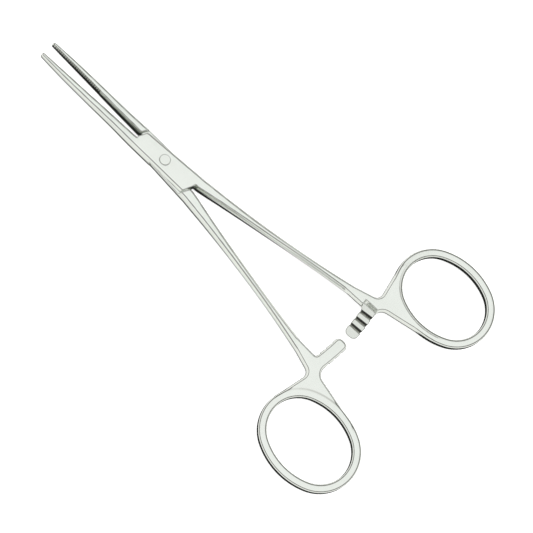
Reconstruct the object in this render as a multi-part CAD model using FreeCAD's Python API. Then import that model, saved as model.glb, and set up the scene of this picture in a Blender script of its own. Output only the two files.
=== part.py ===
import FreeCAD, Part
import math
import os

# Hemostat forceps with a box lock: two forged halves that cross at a riveted pivot.
# Millimetres. X runs from the pivot to the jaw tips, Y across the instrument, Z up.
# The origin is on the pivot's axis, on the surface that the instrument lies on.
# Each half is drawn closed, with its jaw at -Y and its finger ring at +Y, about its
# own middle plane. The female half is the mirror image of that drawing.

# How far the instrument stands open as it lies, and the play between its halves
open_angle = 3.8
pivot_play = 0.05
slot_play = 0.05
wall_play = 0.12
jaw_play = 0.04

# Box lock: the pierced box of the female half and the tongue of the male half
box_thickness = 4.4
box_back = 9.6
box_front = 8.8
box_width_back = 7.7
box_width_front = 6.5
box_run_out = 2.0
box_bevel_run = 1.0
box_bevel_drop = 1.25
box_end_slant = 1.7
front_shoulder_gap = 0.6
back_shoulder_gap = 0.25
slot_height = 1.8
slot_wall_inset = 0.4
slot_wall_setback = 2.0
crotch_gap = 0.2
rivet_diameter = 2.8

# Jaws: flat inside, bevelled outside, tapering to blunt tips
jaw_reach = 43.9
jaw_thickness_mid = 3.5
jaw_thickness_tip = 2.6
jaw_wall = 2.8
jaw_width_mid = 2.3
jaw_width_tip = 1.4
jaw_root_break = 0.45
jaw_edge_break = 0.28
jaw_root_relief = 0.26
jaw_nose_radius = 0.8
serration_length = 18.4
serration_pitch = 0.7
serration_depth = 0.32

# Shanks: bevelled bars that bow apart from the box lock to the finger rings
shank_end_setback = 3.9
shank_end_offset = 9.5
shank_bow = 0.26
shank_width_waist = 2.32
shank_width_end = 3.3
shank_bevel = 0.85
shank_root_wall = 2.0
shank_root_bevel = 0.55
shank_edge_flat = 0.4
web_thickness = 2.8

# Finger rings: ovals of four arcs, bent from bar that is rounded inside and outside
ring_setback = 12.55
ring_offset = 25.05
ring_half_length = 13.85
ring_half_width = 11.1
ring_end_tuck = 0.8
ring_band = 2.45
ring_thickness = 2.9
ring_flat = 0.4

# Web where shank, finger ring and ratchet arm meet: its corners in plan and its bevelled rim
web_root_setback = 6.0
web_crook_back = 3.5
web_crook_out = 1.2
web_side_inset = 0.1
web_side_setback = 1.6
web_side_past = 1.2
web_under_back = 4.8
web_under_inset = 0.6
web_hole_rise = 2.5
web_lap = 0.05
web_bevel = 0.85
web_crook_round = 1.9
web_arm_round = 2.6
web_notch_round = 0.6
web_neck_width = 2.3

# Ratchet arms: concentric with the pivot, toothed on the faces that pass each other
arm_radius = 68.4
arm_width = 4.0
arm_overlap = 1.2
arm_root_inset = 0.85
arm_heel = 1.65
arm_throat = 0.45
arm_relief = 0.5
arm_corner_round = 1.5
arm_gap = 0.06
tooth_pitch = 2.4
tooth_land = 1.35
tooth_depth = 0.72
tooth_count = 3
tooth_first = 1.4

shank_end = arm_radius - shank_end_setback
ring_reach = arm_radius + ring_setback
ring_end_radius = ring_half_width - ring_end_tuck
arm_root = shank_end_offset - arm_root_inset
half_box = box_thickness / 2
half_web = web_thickness / 2
box_land = half_box - box_bevel_drop
bar_front = box_front + box_run_out
bar_back = box_back + box_run_out
jaw_gap = jaw_play + jaw_root_relief
arm_inner = arm_radius - arm_width / 2
arm_outer = arm_radius + arm_width / 2
Z_AXIS = FreeCAD.Vector(0, 0, 1)
ORIGIN = FreeCAD.Vector(0, 0, 0)


def point(x, y, z=0.0):
    return FreeCAD.Vector(x, y, z)


def mix(first, second, share):
    return first + (second - first) * share


def prism(outline, half_height):
    """Straight-sided block over an outline of (x, y) corners, about the middle plane."""
    corners = [point(x, y, -half_height) for x, y in outline]
    face = Part.Face(Part.makePolygon(corners + corners[:1]))
    return face.extrude(point(0, 0, 2 * half_height))


def bar_section(x, near, far, half_height, near_land, far_land, near_run, far_run):
    """Eight-cornered section of a bar: near is its edge at the middle of the instrument."""
    side = 1 if far > near else -1
    corners = [
        point(x, near, -near_land),
        point(x, near + side * near_run, -half_height),
        point(x, far - side * far_run, -half_height),
        point(x, far, -far_land),
        point(x, far, far_land),
        point(x, far - side * far_run, half_height),
        point(x, near + side * near_run, half_height),
        point(x, near, near_land),
    ]
    return Part.makePolygon(corners + corners[:1])


def box_half_width(x):
    """Half the width of the closed box lock, which narrows evenly towards the jaws."""
    share = (x + box_back) / (box_back + box_front)
    return mix(box_width_back, box_width_front, share) / 2


def box_bar():
    """The bevelled bar that both halves fill where they cross."""
    sections = []
    for x in (-bar_back, bar_front):
        edge = box_half_width(x)
        sections.append(bar_section(x, -edge, edge, half_box, box_land, box_land,
                                    box_bevel_run, box_bevel_run))
    return Part.makeLoft(sections, True, True)


def front_end(y):
    """Where the slanted front end of the box lies, from the middle out to its side."""
    return box_front + box_end_slant / 2 - box_end_slant * abs(y) / box_half_width(box_front)


def back_end(y):
    """Where the slanted back end of the box lies, from the middle out to its side."""
    return -box_back - box_end_slant / 2 + box_end_slant * abs(y) / box_half_width(-box_back)


def box_plates():
    """The box in plan: the two plates that cover the tongue, with slanted ends."""
    past = box_width_back
    return [
        (front_end(0), -past),
        (front_end(0), 0),
        (front_end(past), past),
        (-bar_back, past),
        (-bar_back, crotch_gap),
        (back_end(0), crotch_gap),
        (back_end(past), -past),
    ]


def slot_plan(play):
    """The slot through the box in plan, drawn in by some play for the tongue inside it."""
    past = box_width_back
    walls = []
    for turn, reach in ((1, box_front), (-1, box_back)):
        inner = point(turn * (reach - slot_wall_inset), 0)
        outer = point(turn * slot_wall_setback, -turn * box_half_width(turn * slot_wall_setback))
        along = (outer - inner).normalize()
        inward = point(along.y, -along.x) * play
        walls.append((inner - along * 3 + inward, outer + along * past + inward))
    front, back = walls
    return [
        (front[0].x, front[0].y),
        (front[1].x, front[1].y),
        (front[1].x, -2 * past),
        (-2 * past, -2 * past),
        (-2 * past, back[0].y),
        (back[0].x, back[0].y),
        (back[1].x, back[1].y),
        (back[1].x, 2 * past),
        (2 * past, 2 * past),
        (2 * past, front[0].y),
    ]


def jaw():
    """One jaw: flat inner face, bevelled back, tapering in width and thickness."""
    run = jaw_reach - bar_front
    root_width = box_half_width(bar_front) - jaw_gap
    wall = jaw_wall / 2
    tip_wall = jaw_thickness_tip / 2 - jaw_edge_break
    stations = (
        (0.0, box_thickness, root_width, wall, box_land, jaw_root_break, box_bevel_run),
        (0.16, mix(box_thickness, jaw_thickness_mid, 0.4), mix(root_width, jaw_width_mid, 0.5),
         wall, 0.72, mix(jaw_root_break, jaw_edge_break, 0.5), 1.0),
        (0.47, jaw_thickness_mid, jaw_width_mid, wall, 0.35, jaw_edge_break, 0.95),
        (0.8, mix(jaw_thickness_mid, jaw_thickness_tip, 0.6), mix(jaw_width_mid, jaw_width_tip, 0.5),
         mix(wall, tip_wall, 0.6), 0.22, jaw_edge_break, 0.72),
        (1.0, jaw_thickness_tip, jaw_width_tip, tip_wall, 0.15, jaw_edge_break, 0.5),
    )
    sections = []
    for share, thickness, width, inner_land, outer_land, inner_bevel, outer_bevel in stations:
        near = -jaw_play - jaw_root_relief * (1 - share)
        sections.append(bar_section(bar_front + run * share, near, near - width, thickness / 2,
                                    inner_land, outer_land, inner_bevel, outer_bevel))
    bar = Part.makeLoft(sections, True, False).common(jaw_nose())
    root = bar_section(0, -jaw_gap, -2 * box_width_back, half_box, wall, box_land, jaw_root_break, box_bevel_run)
    stub = Part.Face(root).extrude(point(bar_front, 0, 0))
    return bar.fuse(box_bar().common(stub))


def jaw_nose():
    """Block with the rounded outer corner of the jaw's tip, which trims the tapered bar."""
    past = box_width_back
    block = Part.makeBox(jaw_reach - bar_front, past + jaw_nose_radius, box_thickness,
                         point(bar_front, -jaw_width_tip - jaw_play, -half_box))
    corner = edges_at(block, [(jaw_reach, -jaw_width_tip - jaw_play)])
    rounded = block.makeFillet(jaw_nose_radius, corner)
    root_block = Part.makeBox(jaw_reach - bar_front - 2 * jaw_nose_radius, past, box_thickness,
                              point(bar_front, -past, -half_box))
    return rounded.fuse(root_block)


def serration_cutter(shift):
    """Comb of cross grooves for the outer part of one jaw's flat face."""
    count = round(serration_length / serration_pitch)
    start = jaw_reach - serration_pitch / 2 - shift

    def face(x):
        return -jaw_play - jaw_root_relief * (jaw_reach - x) / (jaw_reach - bar_front)

    outline = []
    for step in range(count):
        x = start - step * serration_pitch
        outline.append((x + serration_pitch / 2, face(x) + 0.01))
        outline.append((x, face(x) - serration_depth))
    last = start - (count - 0.5) * serration_pitch
    outline.append((last, face(last) + 0.01))
    outline.append((last, 1.0))
    outline.append((start + serration_pitch / 2, 1.0))
    return prism(outline, box_thickness)


def shank_middle(share):
    """Distance of the shank's middle line from the instrument's, along its run."""
    root_offset = (crotch_gap + box_half_width(-bar_back)) / 2
    return mix(root_offset, shank_end_offset, share) - shank_bow * 4 * share * (1 - share)


def shank():
    """One shank: a forged bar, square inside at the box and six-sided at its waist."""
    run = shank_end - bar_back
    root_width = box_half_width(-bar_back) - crotch_gap
    flat = shank_edge_flat / 2
    root_wall = shank_root_wall / 2
    stations = (
        (0.0, root_width, box_thickness, root_wall, box_land, shank_root_bevel, box_bevel_run),
        (0.15, mix(root_width, shank_width_waist, 0.5), mix(box_thickness, web_thickness, 0.3),
         mix(root_wall, flat, 0.15), box_land, mix(shank_root_bevel, shank_bevel, 0.3), shank_bevel),
        (0.4, shank_width_waist, mix(box_thickness, web_thickness, 0.85),
         mix(root_wall, flat, 0.5), mix(box_land, flat, 0.65),
         mix(shank_root_bevel, shank_bevel, 0.6), shank_bevel),
        (0.72, shank_width_waist, web_thickness, flat, flat, shank_bevel, shank_bevel),
        (1.0, shank_width_end, web_thickness, flat, flat, shank_bevel, shank_bevel),
    )
    sections = []
    for share, width, thickness, inner_land, outer_land, inner_bevel, outer_bevel in stations:
        middle = shank_middle(share)
        sections.append(bar_section(-bar_back - run * share, middle - width / 2, middle + width / 2,
                                    thickness / 2, inner_land, outer_land, inner_bevel, outer_bevel))
    bar = Part.makeLoft(sections, True, False)
    stub = prism([(0, crotch_gap), (0, box_width_back), (-bar_back, box_width_back), (-bar_back, crotch_gap)],
                 half_box)
    return bar.fuse(box_bar().common(stub))


def oval(inset):
    """Four tangent arcs of the finger ring's oval, drawn in from its middle line."""
    end_run = ring_half_length - ring_end_radius
    rise = ring_half_width
    side_radius = (end_run ** 2 + rise ** 2 - ring_end_radius ** 2) / (2 * (rise - ring_end_radius))
    side_run = side_radius - rise
    end_radius = ring_end_radius - inset
    large_radius = side_radius - inset
    turn = math.atan2(side_run, end_run)
    centre = point(-ring_reach, ring_offset)
    arcs = []
    for start, middle_x, middle_y, radius, spread in (
        (0, end_run, 0, end_radius, turn),
        (90, 0, -side_run, large_radius, math.pi / 2 - turn),
        (180, -end_run, 0, end_radius, turn),
        (270, 0, side_run, large_radius, math.pi / 2 - turn),
    ):
        heading = math.radians(start)
        hub = centre + point(middle_x, middle_y)
        ends = [hub + point(radius * math.cos(heading + way), radius * math.sin(heading + way))
                for way in (-spread, 0, spread)]
        arcs.append(Part.Arc(*ends).toShape())
    return Part.Wire(arcs)


def finger_ring():
    """Oval bar bent round into the finger ring."""
    side = point(-ring_reach + ring_half_length, ring_offset)
    turns = []
    for way in (1, -1):
        turns.append([side + point(way * ring_flat / 2, 0, way * ring_thickness / 2),
                      side + point(way * ring_band / 2, 0),
                      side + point(way * ring_flat / 2, 0, -way * ring_thickness / 2)])
    outside, inside = turns
    section = Part.Wire([Part.Arc(*outside).toShape(), Part.makeLine(outside[2], inside[0]),
                         Part.Arc(*inside).toShape(), Part.makeLine(inside[2], outside[0])])
    return oval(0).makePipeShell([section], True, True)


def edges_at(shape, places, tolerance=0.05):
    """Upright edges of a block that stand at given places in plan."""
    found = []
    for edge in shape.Edges:
        ends = edge.Vertexes
        upright = len(ends) == 2 and abs(ends[0].X - ends[1].X) + abs(ends[0].Y - ends[1].Y) < tolerance
        if upright and any(math.hypot(ends[0].X - x, ends[0].Y - y) < tolerance for x, y in places):
            found.append(edge)
    return found


def arm_point(radius, y):
    return -math.sqrt(radius ** 2 - y ** 2), y


def web_plan():
    """Corners of the web in plan, from the shank round the finger ring to the arm."""
    inside = shank_end - web_root_setback
    middle = shank_middle((inside - bar_back) / (shank_end - bar_back))
    ring_side = -ring_reach + ring_half_length
    ring_near = ring_offset - ring_half_width
    return {
        "shank_outer": (-inside, middle + web_neck_width / 2),
        "crook": (-shank_end - web_crook_back, shank_end_offset + shank_width_end / 2 + web_crook_out),
        "ring_side": (ring_side + ring_band / 2 - web_side_inset, ring_offset - web_side_setback),
        "ring_inside": (ring_side, ring_offset + web_side_past),
        "hole": (-ring_reach - web_under_back, ring_near + web_hole_rise),
        "ring_under": (-ring_reach - web_under_back, ring_near - ring_band / 2 + web_under_inset),
        "arm_outer": arm_point(arm_outer, arm_root + arm_heel),
        "arm_inner": arm_point(arm_inner, shank_end_offset - shank_width_end / 2 - arm_throat),
        "shank_inner": (-inside, middle - web_neck_width / 2),
    }


def web_and_arm():
    """Plate that joins shank, finger ring and ratchet arm, with its edges bevelled."""
    corners = web_plan()
    sweep = Part.makeCylinder(arm_outer, web_thickness, point(0, 0, -half_web))
    sweep = sweep.cut(Part.makeCylinder(arm_inner, web_thickness, point(0, 0, -half_web)))
    reach = corners["arm_outer"][1] + arm_relief + arm_overlap
    arm = sweep.common(Part.makeBox(arm_width * 2, reach, web_thickness,
                                    point(-arm_outer - 1, -arm_overlap, -half_web)))
    plate = prism(list(corners.values()), half_web).fuse(arm).removeSplitter()
    hole = Part.Face(oval(ring_band * web_lap)).extrude(point(0, 0, web_thickness))
    plate = plate.cut(hole.translated(point(0, 0, -half_web)))
    ends = [arm_point(arm_outer, -arm_overlap), arm_point(arm_inner, -arm_overlap)]
    for radius, places in (
        (web_crook_round, [corners["crook"]]),
        (web_arm_round, [corners["arm_outer"]]),
        (web_notch_round, [corners["arm_inner"]]),
        (arm_corner_round, ends),
    ):
        plate = plate.makeFillet(radius, edges_at(plate, places))
    rims = []
    for edge in plate.Edges:
        middle = edge.valueAt((edge.FirstParameter + edge.LastParameter) / 2)
        level = edge.BoundBox.ZLength < 0.01 and abs(abs(middle.z) - half_web) < 0.01
        ring_gap = Part.Vertex(point(middle.x, middle.y)).distToShape(oval(0))[0]
        if level and ring_gap > ring_band / 2 and middle.x < corners["shank_outer"][0] - web_side_inset:
            rims.append(edge)
    return plate.makeChamfer(web_bevel, rims)


def arm_step(teeth_up):
    """What is cut from above or below one arm: half its height, and the ratchet's teeth."""
    crest = -arm_gap / 2
    past = arm_width
    outer = Part.makeCylinder(arm_outer + past, box_thickness, point(0, 0, crest))
    cutter = outer.cut(Part.makeCylinder(arm_inner - arm_relief, box_thickness, point(0, 0, crest)))
    cutter = cutter.common(Part.makeBox(3 * arm_width, 2 * arm_root, box_thickness * 2,
                                        point(-arm_outer - past, -arm_root, -box_thickness)))
    for step in range(tooth_count):
        notch = Part.makePolygon([
            point(-arm_outer - past, 0, crest + 0.1),
            point(-arm_outer - past, 0, crest - tooth_depth),
            point(-arm_outer - past, tooth_pitch - tooth_land, crest),
            point(-arm_outer - past, tooth_pitch - tooth_land, crest + 0.1),
            point(-arm_outer - past, 0, crest + 0.1),
        ])
        groove = Part.Face(notch).extrude(point(arm_width + 2 * past, 0, 0))
        travel = (tooth_first + step * tooth_pitch) / arm_radius
        groove.rotate(ORIGIN, Z_AXIS, -math.degrees(travel))
        cutter = cutter.fuse(groove)
    if teeth_up:
        return cutter
    return cutter.mirror(ORIGIN, Z_AXIS)


def handle(teeth_up):
    """Shank, web, ratchet arm and finger ring of one half."""
    plate = web_and_arm().cut(arm_step(teeth_up))
    return shank().fuse([plate, finger_ring()])


def serrated(half, shift):
    return half.cut(serration_cutter(shift))


def female_half():
    """The half with the box: its plates cover the tongue, and its ratchet teeth face up."""
    block = box_bar().common(prism(box_plates(), half_box))
    half = handle(True).fuse([block, jaw()])
    half = half.cut(prism(slot_plan(0), slot_height / 2 + slot_play))
    half = half.cut(Part.makeCylinder(rivet_diameter / 2, box_thickness, point(0, 0, -half_box)))
    half = serrated(half, 0).removeSplitter()
    return half.mirror(ORIGIN, FreeCAD.Vector(0, 1, 0))


def male_half():
    """The half with the tongue, which passes through the box between two pairs of shoulders."""
    past = ring_offset + 2 * ring_half_width
    tongue = box_bar().common(prism(slot_plan(wall_play), slot_height / 2).mirror(ORIGIN, point(0, 1, 0)))
    front = [
        (front_end(0) + front_shoulder_gap, 0.5),
        (front_end(0) + front_shoulder_gap, 0),
        (front_end(box_width_back) + front_shoulder_gap, -box_width_back),
        (2 * jaw_reach, -box_width_back),
        (2 * jaw_reach, 0.5),
    ]
    back = [
        (back_end(0) - back_shoulder_gap, -0.5),
        (back_end(0) - back_shoulder_gap, 0),
        (back_end(box_width_back) - back_shoulder_gap, box_width_back),
        (back_end(box_width_back) - back_shoulder_gap, past),
        (-2 * ring_reach, past),
        (-2 * ring_reach, -0.5),
    ]
    bar = shank().common(prism(back, box_thickness))
    plate = web_and_arm().cut(arm_step(False))
    half = tongue.fuse([jaw().common(prism(front, box_thickness)), bar, plate, finger_ring()])
    half = half.cut(Part.makeCylinder(rivet_diameter / 2 + pivot_play, box_thickness, point(0, 0, -half_box)))
    return serrated(half, serration_pitch / 2).removeSplitter()


def rivet():
    """Plain pin, ground flush with both faces of the box."""
    return Part.makeCylinder(rivet_diameter / 2, box_thickness, point(0, 0, -half_box))


def laid_open(shape, turn):
    """A closed half, turned about the pivot and raised to lie on the surface."""
    placed = shape.copy()
    placed.rotate(ORIGIN, Z_AXIS, turn)
    placed.translate(point(0, 0, half_box))
    return placed


nodes = {
    "female_half": laid_open(female_half(), open_angle / 2),
    "male_half": laid_open(male_half(), -open_angle / 2),
    "box_lock_rivet": laid_open(rivet(), 0),
}

os.makedirs("parts", exist_ok=True)
for name, shape in nodes.items():
    print(name, "valid" if shape.isValid() else "NOT VALID", len(shape.Solids), round(shape.Volume, 1))
    shape.exportStep("parts/" + name + ".step")
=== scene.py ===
import math

import bpy
import numpy as np
import openvdb
from mathutils import Matrix, Vector


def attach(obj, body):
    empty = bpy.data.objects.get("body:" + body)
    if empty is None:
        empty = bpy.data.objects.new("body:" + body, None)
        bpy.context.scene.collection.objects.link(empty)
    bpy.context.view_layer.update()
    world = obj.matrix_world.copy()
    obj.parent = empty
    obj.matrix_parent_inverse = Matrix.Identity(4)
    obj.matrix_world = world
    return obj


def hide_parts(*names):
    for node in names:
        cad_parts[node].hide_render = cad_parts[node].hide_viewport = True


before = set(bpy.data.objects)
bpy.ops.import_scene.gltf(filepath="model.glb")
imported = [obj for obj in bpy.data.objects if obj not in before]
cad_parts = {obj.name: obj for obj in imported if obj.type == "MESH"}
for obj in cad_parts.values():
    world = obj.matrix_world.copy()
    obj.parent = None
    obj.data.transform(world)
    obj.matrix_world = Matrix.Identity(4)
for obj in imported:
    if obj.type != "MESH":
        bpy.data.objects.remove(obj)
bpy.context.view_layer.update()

# Blanks of both halves: each is drop forged from one bar of stainless steel. The bar runs
# bevelled from the jaw through the box lock to the web, and its end is bent into the finger
# ring. Millimetres, closed, about the middle plane, with the jaw at -Y and the ring at +Y.
ring_lines, shank_lines = np.arange(-96.2, -58.0, 0.18), np.arange(-58.0, -14.0, 0.42)
box_lines, jaw_lines = np.arange(-14.0, 14.0, 0.2), np.arange(14.0, 25.0, 0.25)
serration_lines = np.arange(25.0, 45.1, 0.1)
lines_x = np.concatenate([ring_lines, shank_lines, box_lines, jaw_lines, serration_lines])
lines_y = np.arange(-5.2, 39.5, 0.17)
lines_z = np.arange(-2.55, 2.6, 0.15)
x = lines_x.astype(np.float32)[:, None, None]
y = lines_y.astype(np.float32)[None, :, None]
z = lines_z.astype(np.float32)[None, None, :]
level = np.abs(z)

# Box of the blank: the tallest and widest stretch of the bar, bevelled on both sides, where
# the two halves cross. It narrows a little from the shank to the jaw.
box_back, box_front, box_spare = -11.6, 10.8, 0.5
box_half_height, box_land, box_run = 2.2, 0.5, 0.78
box_width_back, box_narrowing, box_narrows_from, box_narrows_over = 7.7, 1.2, -9.6, 18.4
box_half_width = (box_width_back - box_narrowing * (x - box_narrows_from) / box_narrows_over) / 2
ground_edge, wall_edge, crisp_edge = 0.45, 0.3, 0.1


def rounded_cut(first, second, radius):
    """Depth inside both faces, with the edge that they share rounded off."""
    overlap = np.maximum(radius - np.abs(first - second), 0.0)
    return np.maximum(first, second) + overlap * overlap / (4 * radius)


def bar_depth(side, near, far, half_height, near_land, far_land, near_run, far_run, near_edge):
    """Depth inside a bar with bevelled edges, whose sizes may change along its length."""
    near_wall, far_wall, top = side * (near - y), side * (y - far), level - half_height
    near_drop, far_drop = half_height - near_land, half_height - far_land
    near_bevel = near_wall * near_drop + (level - near_land) * near_run
    far_bevel = far_wall * far_drop + (level - far_land) * far_run
    body = rounded_cut(top, far_bevel / np.hypot(far_drop, far_run), ground_edge)
    body = rounded_cut(body, near_bevel / np.hypot(near_drop, near_run), near_edge)
    body = rounded_cut(body, far_wall, wall_edge)
    return rounded_cut(body, near_wall, wall_edge)


box_bar = bar_depth(1, -box_half_width, box_half_width, box_half_height, box_land, box_land,
                    box_run, box_run, ground_edge)
box_ends = np.maximum(x - box_front - box_spare, box_back - box_spare - x)
box_bar = rounded_cut(box_bar, box_ends, crisp_edge)

# Jaw of the blank: flat on the inside with broken edges, bevelled on the outside, and
# tapering in width and height to a blunt tip.
jaw_tip, jaw_tip_round, milled_edge = 43.9, 0.55, 0.28
jaw_places = (4.0, box_front, 16.1, 26.36, 37.28, jaw_tip)


def run_through(places, values):
    """A size that passes smoothly through its given values along the bar."""
    places, values = np.array(places, float), np.array(values, float)
    slopes = np.gradient(values, places)
    along = np.clip(x, places[0], places[-1])
    left = np.clip(np.searchsorted(places, along, side="right") - 1, 0, len(places) - 2)
    gap = places[left + 1] - places[left]
    s = (along - places[left]) / gap
    return (
        (1 + 2 * s) * (1 - s) ** 2 * values[left] + s * (1 - s) ** 2 * gap * slopes[left]
        + s ** 2 * (3 - 2 * s) * values[left + 1] - s ** 2 * (1 - s) * gap * slopes[left + 1]
    ).astype(np.float32)


jaw_near = run_through(jaw_places, (-0.3, -0.3, -0.258, -0.178, -0.092, -0.04))
jaw_far = jaw_near - run_through(jaw_places, (3.107, 2.885, 2.592, 2.3, 1.85, 1.4))
jaw_half_height = run_through(jaw_places, (2.2, 2.2, 2.02, 1.75, 1.48, 1.3))
jaw_wall = run_through(jaw_places, (1.4, 1.4, 1.4, 1.1, 0.85, 0.68))
jaw_break = run_through(jaw_places, (0.45, 0.45, 0.43, 0.42, 0.42, 0.42))
jaw_far_land = run_through(jaw_places, (0.5, 0.5, 0.45, 0.35, 0.28, 0.22))
jaw_far_run = run_through(jaw_places, (0.78, 0.78, 0.72, 0.62, 0.5, 0.4))
jaw_bar = bar_depth(-1, jaw_near, jaw_far, jaw_half_height, jaw_wall, jaw_far_land,
                    jaw_break, jaw_far_run, milled_edge)
jaw_bar = rounded_cut(jaw_bar, x - jaw_tip, jaw_tip_round)
jaw_bar = np.maximum(jaw_bar, -x)

# Shank of the blank: a bevelled bar that leaves the box on the other side of the middle
# and runs outwards to the web in a shallow curve, with its waist past half of its length.
shank_end, shank_inner_start = -64.5, 0.2
shank_middle_start, shank_offset, shank_bow = 2.058, 7.442, 1.04
shank_share = np.clip((box_back - x) / (box_back - shank_end), 0.0, 1.0)
shank_places = (shank_end, -49.69, -32.76, -19.54, box_back, -4.0)
shank_middle = (shank_middle_start + shank_offset * shank_share
                - shank_bow * shank_share * (1 - shank_share))
shank_width = run_through(shank_places, (3.3, 2.32, 2.32, 3.018, 3.715, 3.715))
shank_near = np.where(x > box_back, shank_inner_start, shank_middle - shank_width / 2)
shank_far = np.where(x > box_back, box_half_width, shank_middle + shank_width / 2)
shank_half_height = run_through(shank_places, (1.4, 1.4, 1.52, 1.96, 2.2, 2.2))
shank_near_land = run_through(shank_places, (0.2, 0.2, 0.6, 0.88, 1.0, 1.0))
shank_far_land = run_through(shank_places, (0.2, 0.2, 0.3, 0.45, 0.5, 0.5))
shank_near_run = run_through(shank_places, (0.85, 0.85, 0.73, 0.64, 0.55, 0.55))
shank_far_run = run_through(shank_places, (0.55, 0.6, 0.7, 0.72, 0.78, 0.78))
shank_bar = bar_depth(1, shank_near, shank_far, shank_half_height, shank_near_land,
                      shank_far_land, shank_near_run, shank_far_run, milled_edge)
shank_bar = np.maximum(shank_bar, np.maximum(x, shank_end - x))

# Finger ring of the blank: the bar's end, bent round into an oval of four arcs, with its
# inside and outside rounded for the finger.
ring_x, ring_y = -80.95, 25.05
ring_length, ring_width, ring_end_radius = 13.85, 11.1, 10.3
ring_half_bar, ring_half_height, ring_round = 1.207, 1.45, 0.8
end_run = ring_length - ring_end_radius
side_radius = ((end_run ** 2 + ring_width ** 2 - ring_end_radius ** 2)
               / (2 * (ring_width - ring_end_radius)))
side_run = side_radius - ring_width
off_x, off_y = np.abs(x - ring_x), np.abs(y - ring_y)
at_end = end_run * (off_y + side_run) < side_run * off_x + 1e-6
past_middle = np.where(at_end, np.hypot(off_x - end_run, off_y) - ring_end_radius,
                       np.hypot(off_x, off_y + side_run) - side_radius)
ring_bar = rounded_cut(np.abs(past_middle) - ring_half_bar, level - ring_half_height, ring_round)

# Web of the blank: the flat, bevelled plate that is forged where shank, ring and ratchet
# arm meet. Its corners are rounded, and it ends in the outer half of the ring's bar.
web_half_height, web_land, web_run, web_wall_edge = 1.4, 0.3, 0.55, 0.2
arm_middle, arm_half_width, arm_end, arm_corner = 68.4, 2.0, -1.2, 1.5
arm_outer, arm_inner = arm_middle + arm_half_width, arm_middle - arm_half_width
join_fillet = 0.3


def plan_depth(corners):
    """Depth inside an outline of (x, y) corners, seen from above."""
    px, py = x[:, :, 0], y[:, :, 0]
    nearest = np.full((len(lines_x), len(lines_y)), 1e9, np.float32)
    inside = np.zeros(nearest.shape, bool)
    for (ax, ay), (bx, by) in zip(corners, corners[1:] + corners[:1]):
        ex, ey = bx - ax, by - ay
        share = np.clip(((px - ax) * ex + (py - ay) * ey) / (ex * ex + ey * ey), 0.0, 1.0)
        nearest = np.minimum(nearest, (px - ax - share * ex) ** 2 + (py - ay - share * ey) ** 2)
        if abs(ey) > 1e-9:
            crosses = (ay > py) != (by > py)
            inside ^= crosses & (px < ax + (py - ay) * ex / ey)
    depth = np.sqrt(nearest)
    return np.where(inside, -depth, depth)[:, :, None]


def rounded_outline(corners, steps=8):
    """Outline whose (x, y, radius) corners are rounded."""
    outline = []
    for index, (cx, cy, radius) in enumerate(corners):
        corner = Vector((cx, cy))
        before = Vector(corners[index - 1][:2]) - corner
        after = Vector(corners[(index + 1) % len(corners)][:2]) - corner
        if radius == 0:
            outline.append((cx, cy))
            continue
        half = before.angle(after) / 2
        inward = (before.normalized() + after.normalized()).normalized()
        centre = corner + inward * (radius / math.sin(half))
        start = corner + before.normalized() * (radius / math.tan(half)) - centre
        sweep = math.copysign(math.pi - 2 * half, before.cross(after))
        for step in range(steps + 1):
            turn = -sweep * step / steps
            outline.append((centre.x + start.x * math.cos(turn) - start.y * math.sin(turn),
                            centre.y + start.x * math.sin(turn) + start.y * math.cos(turn)))
    return outline


def filleted_join(first, second, radius):
    """Depth inside either body, with a fillet where they meet."""
    overlap = np.maximum(radius - np.abs(first - second), 0.0)
    return np.minimum(first, second) - overlap * overlap / (4 * radius)


outer_run = [(-math.sqrt(arm_outer ** 2 - s ** 2), s, 0) for s in (7.0, 5.0, 3.0, 1.0)]
inner_run = [(-math.sqrt(arm_inner ** 2 - s ** 2), s, 0) for s in (1.0, 3.0, 5.0)]
web_outline = rounded_outline([
    (-58.5, 9.701, 0), (-68.0, 12.35, 1.9), (-65.975, 23.45, 0), (-68.4, 30.0, 0),
    (ring_x, ring_y, 0), (-91.0, 17.0, 0), (-85.75, 13.325, 0), (-69.642, 10.3, 2.6),
    *outer_run, (-arm_outer, arm_end, arm_corner), (-arm_inner, arm_end, arm_corner), *inner_run,
    (-65.986, 7.4, 0.6), (-58.5, 7.401, 0),
])
web_drop = web_half_height - web_land
web_edge = plan_depth(web_outline)
web_bevel = (web_edge * web_drop + (level - web_land) * web_run) / math.hypot(web_drop, web_run)
web = rounded_cut(level - web_half_height, web_bevel, milled_edge)
web = np.maximum(rounded_cut(web, web_edge, web_wall_edge), -past_middle)

handle = filleted_join(np.minimum(shank_bar, web), ring_bar, join_fillet)

# Machining of each half: the jaw's flat face is cut across into fine serrations, and the
# arm is milled down to half its height and cut into ratchet teeth. The teeth are tinted
# faintly, and shade is painted dark into the grooves and between the teeth.
serration_pitch, serration_depth, serrations = 0.7, 0.36, 26
crest, tooth_depth, tooth_run, tooth_pitch, first_tooth, teeth = -0.03, 0.72, 1.05, 2.4, 1.4, 3
milled_end, milled_slant, cutter_overrun = 8.65, 0.58, 0.5
flat_face_start, arm_start, deep_inside = box_front + 2, -50, -9.0
# A lean turns a straight distance to a slanted face into the depth square to that face.
serration_lean, tooth_lean = 0.76, 0.82
# Painted shade: the gap and groove values darken the steel's colour between the teeth and in the
# serration grooves, where shade falls. The land value is a faint tint on the teeth.
land_tint, painted_gap_shade, painted_gap_shade_start, painted_gap_shade_run = 0.13, 0.45, 0.03, 0.15
teeth_start, teeth_tilt, teeth_margin = -60, 0.6, 0.1
painted_groove_shade, painted_groove_shade_peak, painted_groove_shade_fall, groove_reach = 0.95, 1.7, 7.5, 0.6
tip_face, face_slope = -0.04, 0.26
field_reach = 0.5
half_turn_open = math.radians(1.9)


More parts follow.
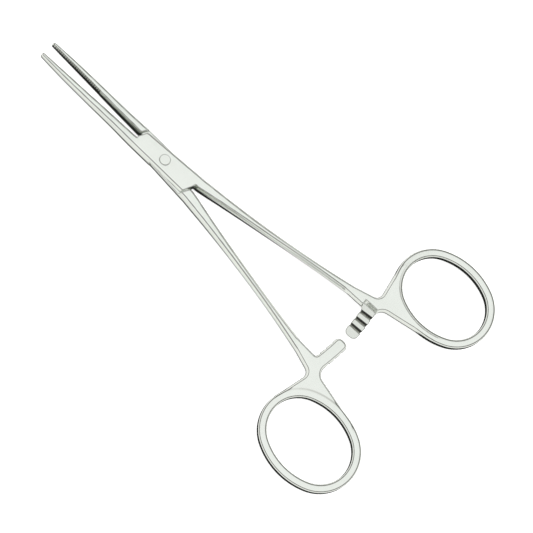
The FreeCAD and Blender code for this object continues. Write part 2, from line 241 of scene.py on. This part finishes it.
def serrate(half, shift):
    """Cross grooves in the outer part of the jaw's flat face."""
    along = (jaw_tip - shift - x) / serration_pitch
    groove = serration_depth * (1 - np.abs(2 * (along - np.floor(along)) - 1))
    groove = np.where((along > 0) & (along < serrations), groove, 0.0)
    face = (y - jaw_near + groove) * serration_lean
    return np.maximum(half, np.where(x > flat_face_start, face, deep_inside))


def mill_ratchet(half, up):
    """The arm milled down to its toothed face, which looks up or down."""
    height = z if up else -z
    travel = arm_middle * np.arctan2(y, -x)
    past_arm = arm_inner - cutter_overrun - np.hypot(x, y)
    slanted_end = y - milled_end - milled_slant * (height - crest)
    milled = np.maximum(past_arm, slanted_end / math.hypot(1.0, milled_slant))
    milled = np.maximum(crest - height, milled)
    for tooth in range(teeth):
        past = travel - first_tooth - tooth * tooth_pitch
        ramp = (crest - tooth_depth * (1 - past / tooth_run) - height) * tooth_lean
        milled = np.minimum(milled, np.maximum(np.maximum(-past, ramp), past_arm))
    return np.maximum(half, np.where(x < arm_start, -milled, deep_inside))


def tint_and_painted_shade_levels(points, tilt, teeth_up):
    """How much tint each point bears on the teeth, and how much shade is painted between them and in
    the grooves.
    """
    along, across, height = points[:, 0], points[:, 1], points[:, 2]
    up = 1 if teeth_up else -1
    facing, fall = tilt * up, crest - height * up
    on_arm = (along < teeth_start) & (across < milled_end)
    on_arm &= np.hypot(along, across) > arm_inner - cutter_overrun
    toothed = on_arm & (facing > teeth_tilt) & (fall > -teeth_margin)
    toothed &= fall < tooth_depth + teeth_margin
    # Painted shade: the deeper a point lies between the teeth, the darker it is painted.
    in_gap = np.clip((fall - painted_gap_shade_start) / painted_gap_shade_run, 0.0, 1.0)
    tint_and_painted_shade = np.where(toothed, land_tint + painted_gap_shade * in_gap, 0.0)
    # Painted shade: dark ticks are painted along the serration grooves, at the flat face's edge.
    step = (jaw_tip - along - (0 if teeth_up else serration_pitch / 2)) / serration_pitch
    face = tip_face - face_slope * (jaw_tip - along) / (jaw_tip - box_front)
    grooved = (step > 0) & (step < serrations) & (across > face - groove_reach)
    off_groove = np.abs(step - np.floor(step) - 0.5)
    in_groove = np.clip(painted_groove_shade_peak - painted_groove_shade_fall * off_groove, 0.0, painted_groove_shade)
    return np.where(grooved, in_groove, tint_and_painted_shade)


def steel_piece(name, half, mirror, turn, teeth_up):
    """Mesh of a half in metres, mirrored where it is the female one, and laid open."""
    grid = openvdb.FloatGrid(background=field_reach)
    grid.copyFromArray(np.clip(half, -field_reach, field_reach).astype(np.float32))
    points, quads = grid.convertToQuads(isovalue=0.0)
    for axis, lines in enumerate((lines_x, lines_y, lines_z)):
        points[:, axis] = np.interp(points[:, axis], np.arange(len(lines)), lines)
    along, across, height = points[:, 0], points[:, 1], points[:, 2]
    side = -1 if mirror else 1
    cos, sin = math.cos(turn), math.sin(turn)
    placed = np.stack([along * cos - side * across * sin, along * sin + side * across * cos,
                       np.clip(height + box_half_height, 0.0, 2 * box_half_height)], 1) / 1000
    mesh = bpy.data.meshes.new(name)
    mesh.from_pydata(placed.tolist(), [], (quads[:, ::-1] if mirror else quads).tolist())
    mesh.shade_smooth()

    tilt = np.empty(len(points) * 3, np.float32)
    mesh.vertex_normals.foreach_get("vector", tilt)
    # Shade painted between the teeth and in the grooves, with a faint tint on the teeth, is stored on
    # the mesh as an attribute.
    tint_and_painted_shade = tint_and_painted_shade_levels(points, tilt.reshape(-1, 3)[:, 2], teeth_up)
    marks = mesh.attributes.new("tint_and_painted_shade", "FLOAT", "POINT")
    marks.data.foreach_set("value", tint_and_painted_shade.astype(np.float32))

    piece = bpy.data.objects.new(name, mesh)
    bpy.context.scene.collection.objects.link(piece)
    return piece


# Female half: the box is pierced for the tongue, so that two plates with slanted ends are
# left above and below the slot, and the rivet's hole is drilled through both. The steel is
# ground along its length and polished, and handling leaves faint smears.
plate_front, plate_back, end_slant = 9.65, -10.45, 1.7
front_half_width, back_half_width, front_lean, back_lean = 3.25, 3.85, 0.88, 0.91
slot_half_height, rivet_hole_radius, clear_of_box = 0.95, 1.385, 15.4
ring_finish_start, ring_finish_full, ring_roughness = -0.066, -0.076, 0.55
# The last colour is painted as shade into the grooves and between the teeth, and faintly onto the
# teeth as a tint.
pale_steel, deep_steel, tint_and_painted_shade_colour = (0.88, 0.90, 0.86), (0.79, 0.82, 0.77), (0.12, 0.11, 0.07)


def front_distance(across):
    """How far a point lies beyond the slanted front ends of the plates."""
    return (x - plate_front + end_slant * across / front_half_width) * front_lean


def back_distance(across):
    """How far a point lies beyond the slanted back ends of the plates."""
    return (plate_back + end_slant * across / back_half_width - x) * back_lean


def worn_finish_group():
    """Masks of fine grinding lines and smears over a steel surface."""
    group = bpy.data.node_groups.new("Ground steel wear", "ShaderNodeTree")
    for name in ("Line pitch", "Smear size"):
        group.interface.new_socket(name, in_out="INPUT", socket_type="NodeSocketFloat")
    for name in ("Lines", "Smears"):
        group.interface.new_socket(name, in_out="OUTPUT", socket_type="NodeSocketFloat")
    nodes, links = group.nodes, group.links
    inputs = nodes.new("NodeGroupInput")
    outputs = nodes.new("NodeGroupOutput")
    place = nodes.new("ShaderNodeTexCoord")

    stretch = nodes.new("ShaderNodeMapping")
    stretch.inputs["Scale"].default_value = (0.04, 1.0, 1.0)
    lines = nodes.new("ShaderNodeTexNoise")
    lines.inputs["Detail"].default_value = 4.0
    links.new(place.outputs["Object"], stretch.inputs["Vector"])
    links.new(stretch.outputs["Vector"], lines.inputs["Vector"])
    links.new(inputs.outputs["Line pitch"], lines.inputs["Scale"])
    links.new(lines.outputs["Fac"], outputs.inputs["Lines"])

    smears = nodes.new("ShaderNodeTexNoise")
    smears.inputs["Detail"].default_value = 5.0
    smears.inputs["Roughness"].default_value = 0.62
    links.new(place.outputs["Object"], smears.inputs["Vector"])
    links.new(inputs.outputs["Smear size"], smears.inputs["Scale"])
    links.new(smears.outputs["Fac"], outputs.inputs["Smears"])
    return group


ground_wear = worn_finish_group()


def steel(name, pale, deep, smooth, rough, line_pitch, line_depth):
    """Polished stainless steel with its own colours, polish and depth of grinding lines."""
    material = bpy.data.materials.new(name)
    material.use_nodes = True
    nodes, links = material.node_tree.nodes, material.node_tree.links
    shader = nodes["Principled BSDF"]
    shader.inputs["Metallic"].default_value = 1.0
    wear = nodes.new("ShaderNodeGroup")
    wear.node_tree = ground_wear
    wear.inputs["Line pitch"].default_value = line_pitch
    wear.inputs["Smear size"].default_value = 90.0

    tint = nodes.new("ShaderNodeMix")
    tint.data_type = "RGBA"
    tint.inputs["A"].default_value = (*pale, 1.0)
    tint.inputs["B"].default_value = (*deep, 1.0)
    links.new(wear.outputs["Smears"], tint.inputs["Factor"])
    # Painted shade: an attribute mixes a dark colour into the grooves and between the teeth, and a
    # faint tint onto the teeth.
    tint_and_painted_shade = nodes.new("ShaderNodeAttribute")
    tint_and_painted_shade.attribute_name = "tint_and_painted_shade"
    tint_and_painted_shade_mix = nodes.new("ShaderNodeMix")
    tint_and_painted_shade_mix.data_type = "RGBA"
    tint_and_painted_shade_mix.inputs["B"].default_value = (*tint_and_painted_shade_colour, 1.0)
    links.new(tint_and_painted_shade.outputs["Fac"], tint_and_painted_shade_mix.inputs["Factor"])
    links.new(tint.outputs["Result"], tint_and_painted_shade_mix.inputs["A"])
    links.new(tint_and_painted_shade_mix.outputs["Result"], shader.inputs["Base Color"])

    polish = nodes.new("ShaderNodeMapRange")
    polish.inputs["From Min"].default_value = 0.3
    polish.inputs["From Max"].default_value = 0.7
    polish.inputs["To Min"].default_value = smooth
    polish.inputs["To Max"].default_value = rough
    links.new(wear.outputs["Smears"], polish.inputs["Value"])
    where = nodes.new("ShaderNodeTexCoord")
    axes = nodes.new("ShaderNodeSeparateXYZ")
    ring_zone = nodes.new("ShaderNodeMapRange")
    ring_zone.inputs["From Min"].default_value = ring_finish_start
    ring_zone.inputs["From Max"].default_value = ring_finish_full
    ring_zone.inputs["To Min"].default_value = 1.0
    ring_zone.inputs["To Max"].default_value = ring_roughness
    finish = nodes.new("ShaderNodeMath")
    finish.operation = "MULTIPLY"
    links.new(where.outputs["Object"], axes.inputs["Vector"])
    links.new(axes.outputs["X"], ring_zone.inputs["Value"])
    links.new(polish.outputs["Result"], finish.inputs[0])
    links.new(ring_zone.outputs["Result"], finish.inputs[1])
    links.new(finish.outputs["Value"], shader.inputs["Roughness"])

    relief = nodes.new("ShaderNodeBump")
    relief.inputs["Strength"].default_value = line_depth
    relief.inputs["Distance"].default_value = 0.00001
    links.new(wear.outputs["Lines"], relief.inputs["Height"])
    links.new(relief.outputs["Normal"], shader.inputs["Normal"])
    return material


plates = rounded_cut(box_bar, front_distance(np.maximum(y, 0.0)), crisp_edge)
plates = rounded_cut(plates, back_distance(np.maximum(-y, 0.0)), crisp_edge)
plates = rounded_cut(plates, np.minimum(shank_inner_start - y, back_distance(np.abs(y))), crisp_edge)
slot_outline = [
    (11.037, 1.43), (-4.768, -7.143), (-4.768, -clear_of_box), (-clear_of_box, -clear_of_box),
    (-clear_of_box, -1.342), (-11.883, -1.342), (4.886, 7.047), (4.886, clear_of_box),
    (clear_of_box, clear_of_box), (clear_of_box, 1.43),
]
slot = np.maximum(plan_depth(slot_outline), level - slot_half_height)
female = np.maximum(np.minimum(np.minimum(plates, jaw_bar), handle), -slot)
female = np.maximum(female, rivet_hole_radius - np.hypot(x, y))
female = mill_ratchet(serrate(female, 0.0), True)

half_steel = steel("half_steel", pale_steel, deep_steel, smooth=0.10, rough=0.20,
                   line_pitch=5200.0, line_depth=0.4)
female_steel = steel_piece("female_half_steel", female, True, half_turn_open, True)
female_steel.data.materials.append(half_steel)
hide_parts("female_half")
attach(female_steel, "female")

# Male half: its middle is milled down to a thin tongue, which passes through the slot in
# the box, and slanted shoulders are left where the jaw and the shank rise to full height.
# Its serrations stand half a pitch off the female half's, and its teeth look down.
tongue_half_height, jaw_shoulder_gap, shank_shoulder_gap, shoulder_edge = 0.9, 0.53, 0.23, 0.15
tongue_outline = [
    (10.98, -1.536), (-4.826, 7.038), (-4.826, clear_of_box), (-clear_of_box, clear_of_box),
    (-clear_of_box, 1.45), (-11.829, 1.45), (4.94, -6.94), (4.94, -clear_of_box),
    (clear_of_box, -clear_of_box), (clear_of_box, -1.536),
]
tongue = np.maximum(plan_depth(tongue_outline), level - tongue_half_height)
tongue = np.maximum(box_bar, tongue)
jaw_rise = jaw_shoulder_gap - front_distance(np.abs(y))
shank_rise = shank_shoulder_gap - back_distance(np.abs(y))
male = np.minimum(tongue, np.minimum(rounded_cut(jaw_bar, jaw_rise, shoulder_edge),
                                     rounded_cut(handle, shank_rise, shoulder_edge)))
male = mill_ratchet(serrate(male, serration_pitch / 2), False)

male_steel = steel_piece("male_half_steel", male, False, -half_turn_open, False)
male_steel.data.materials.append(half_steel)
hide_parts("male_half")
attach(male_steel, "male")

# Rivet: a plain pin of stainless steel. It is pressed through both plates of the box and
# ground flush with them, and the tongue turns on it.
pale_pin, deep_pin = (0.87, 0.89, 0.85), (0.78, 0.81, 0.76)
rivet_steel = steel("rivet_steel", pale_pin, deep_pin, smooth=0.12, rough=0.22,
                    line_pitch=4200.0, line_depth=0.5)
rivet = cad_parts["box_lock_rivet"]
rivet.data.materials.clear()
rivet.data.materials.append(rivet_steel)

# Floor: a plain sheet of pale matt board, much larger than the instrument, which lies on it.
# The steel doesn't mirror it, so the sides of the bars stay dark as they do in the studio.
floor_size, floor_gap = 6.0, 0.00005
board_grey, board_grain_grey = 0.42, 0.38
board = bpy.data.materials.new("pale_board")
board.use_nodes = True
board_nodes, board_links = board.node_tree.nodes, board.node_tree.links
board_paint = board_nodes["Principled BSDF"]
board_paint.inputs["Roughness"].default_value = 0.9
board_paint.inputs["Emission Color"].default_value = (1.0, 1.0, 1.0, 1.0)
board_paint.inputs["Emission Strength"].default_value = 0.75
board_grain = board_nodes.new("ShaderNodeTexNoise")
board_grain.inputs["Scale"].default_value = 40.0
board_tint = board_nodes.new("ShaderNodeMix")
board_tint.data_type = "RGBA"
board_tint.inputs["A"].default_value = (board_grey, board_grey, board_grey, 1.0)
board_tint.inputs["B"].default_value = (board_grain_grey, board_grain_grey, board_grain_grey, 1.0)
board_links.new(board_grain.outputs["Fac"], board_tint.inputs["Factor"])
board_links.new(board_tint.outputs["Result"], board_paint.inputs["Base Color"])
bpy.ops.mesh.primitive_plane_add(size=floor_size, location=(0, 0, -floor_gap))
floor = bpy.context.object
floor.name = "floor"
floor.data.materials.append(board)
floor.visible_glossy = False

# Studio light: soft lamps overhead and beside the floor, and a room for the steel to mirror,
# with a bright ceiling, a dark tier under it, bright walls and a dark base.
room_strength = 1.08
base_tier, base_colour = 0.09, (0.015, 0.017, 0.015, 1.0)
ceiling_tier, ceiling_colour = 0.96, (0.91, 0.92, 0.915, 1.0)
wall_tiers = ((0.13, 0.45), (0.19, 0.85), (0.60, 0.95), (0.69, 0.28),
              (0.75, 0.05), (0.87, 0.06), (0.925, 0.72))


def soft_lamp(name, place, toward, size, power):
    """A large flat lamp, which the steel doesn't mirror."""
    lamp_data = bpy.data.lights.new(name, "AREA")
    lamp_data.shape = "RECTANGLE"
    lamp_data.size, lamp_data.size_y = size
    lamp_data.energy = power
    lamp = bpy.data.objects.new(name, lamp_data)
    lamp.location = place
    lamp.visible_glossy = False
    lamp.rotation_mode = "QUATERNION"
    lamp.rotation_quaternion = (Vector(toward) - Vector(place)).to_track_quat("-Z", "Y")
    bpy.context.scene.collection.objects.link(lamp)


instrument = (-0.04, 0, 0)
soft_lamp("overhead", (-0.04, -0.2, 1.0), instrument, size=(1.4, 1.4), power=26.0)
soft_lamp("side", (-0.8, -0.5, 0.7), instrument, size=(0.7, 0.7), power=8.0)

room = bpy.data.worlds.new("studio")
room.use_nodes = True
bpy.context.scene.world = room
sky_nodes, sky_links = room.node_tree.nodes, room.node_tree.links
heading = sky_nodes.new("ShaderNodeTexCoord")
split = sky_nodes.new("ShaderNodeSeparateXYZ")
upward = sky_nodes.new("ShaderNodeMapRange")
upward.inputs["From Min"].default_value = -1.0
tiers = sky_nodes.new("ShaderNodeValToRGB")
tiers.color_ramp.elements[0].position = base_tier
tiers.color_ramp.elements[0].color = base_colour
tiers.color_ramp.elements[1].position = ceiling_tier
tiers.color_ramp.elements[1].color = ceiling_colour
for position, shade in wall_tiers:
    tier = tiers.color_ramp.elements.new(position)
    tier.color = (shade, shade, shade * 0.98, 1.0)
sky_links.new(heading.outputs["Generated"], split.inputs["Vector"])
sky_links.new(split.outputs["Z"], upward.inputs["Value"])
sky_links.new(upward.outputs["Result"], tiers.inputs["Fac"])
sky_links.new(tiers.outputs["Color"], sky_nodes["Background"].inputs["Color"])
sky_nodes["Background"].inputs["Strength"].default_value = room_strength
bpy.context.scene.view_settings.view_transform = "Standard"

# Camera: above the instrument and leaning a little to the male half's side, with a long
# lens, rolled so that the jaws point to the upper left.
aim = Vector((-0.03949, 0.00101, 0.0022))
stand = Vector((-0.05804, 0.21344, 0.63951))
image_right = Vector((-0.71745, -0.66686, 0.20140))
image_up = Vector((0.69607, -0.67481, 0.24519))
lens = bpy.data.cameras.new("camera")
lens.sensor_width = 36.0
lens.lens = 168.86
lens.clip_start = 0.05
lens.clip_end = 10.0
camera = bpy.data.objects.new("camera", lens)
facing_back = (stand - aim).normalized()
camera.rotation_mode = "QUATERNION"
camera.rotation_quaternion = Matrix((image_right, image_up, facing_back)).transposed().to_quaternion()
camera.location = stand
bpy.context.scene.collection.objects.link(camera)
bpy.context.scene.camera = camera
